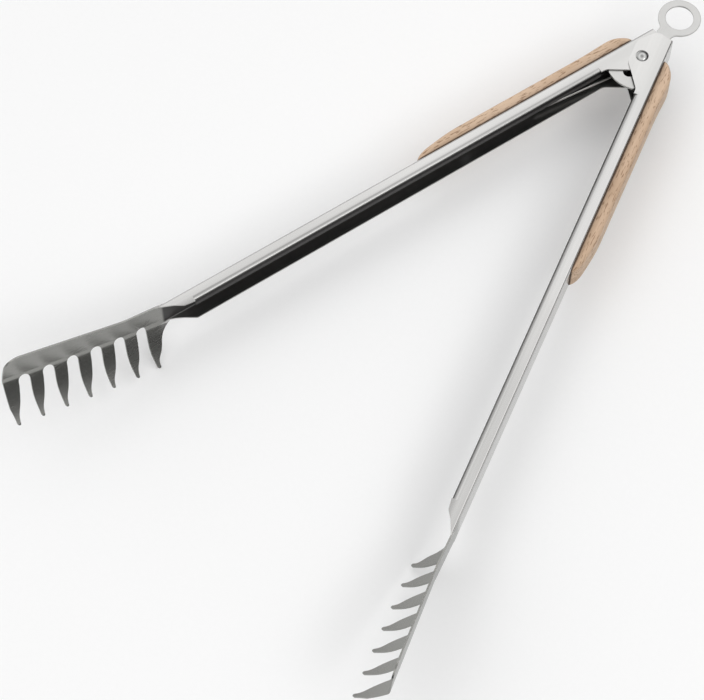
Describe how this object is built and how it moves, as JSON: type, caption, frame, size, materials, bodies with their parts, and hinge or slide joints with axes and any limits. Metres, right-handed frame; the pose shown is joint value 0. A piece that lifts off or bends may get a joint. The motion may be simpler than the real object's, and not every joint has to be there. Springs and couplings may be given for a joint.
{
  "type": "spring loaded kitchen tongs",
  "caption": "Long spring-open kitchen tongs with channel arms, raked comb jaws, wooden grips and a sliding lock ring at the pivot.",
  "frame": {"origin": "middle of the hanging hole of the lock ring, halfway through the plate", "axes": "+Y from the rivet through the hanging hole, away from the jaws; +Z along the rivet, on the side where the lock plate lies; the tongs are open and the ring is pushed in"},
  "size_m": [0.2686, 0.4401, 0.0578],
  "materials": {
    "arm_steel": "polished stainless sheet with a soft satin sheen",
    "ring_steel": "polished stainless sheet with a soft satin sheen",
    "rivet_steel": "bright polished",
    "spring_wire": "drawn spring wire",
    "fastener": "plain zinc",
    "wood": "pale close-grained hardwood, oiled, with short dark flecks"
  },
  "bodies": {
    "pivot": {"pivot_rivet": "rivet_steel", "pivot_spacer": "fastener", "torsion_spring": "spring_wire"},
    "left_arm": {"left_arm": "arm_steel", "left_grip": "wood", "left_grip_screw_1": "fastener", "left_grip_screw_2": "fastener"},
    "right_arm": {"right_arm": "arm_steel", "right_grip": "wood", "right_grip_screw_1": "fastener", "right_grip_screw_2": "fastener"},
    "lock_ring": {"lock_ring": "ring_steel"}
  },
  "joints": [
    {"name": "left_arm_swing", "type": "hinge", "parent": "pivot", "child": "left_arm", "pos_m": [0, -0.0357, -0.00745], "axis": [0, 0, 1], "range_deg": [0, 15.6], "stiffness_Nm_per_rad": 0.8, "springref_deg": -28.65, "deforming": ["torsion_spring"]},
    {"name": "right_arm_swing", "type": "hinge", "parent": "pivot", "child": "right_arm", "pos_m": [0, -0.0357, -0.00745], "axis": [0, 0, 1], "range_deg": [-15.6, 0], "stiffness_Nm_per_rad": 0.8, "springref_deg": 28.65, "deforming": ["torsion_spring"]},
    {"name": "lock_ring_slide", "type": "slide", "parent": "pivot", "child": "lock_ring", "axis": [0, 1, 0], "range_m": [0, 0.011]}
  ],
  "couplings": [
    {"joint": "right_arm_swing", "follows": "left_arm_swing", "ratio": -1}
  ]
}
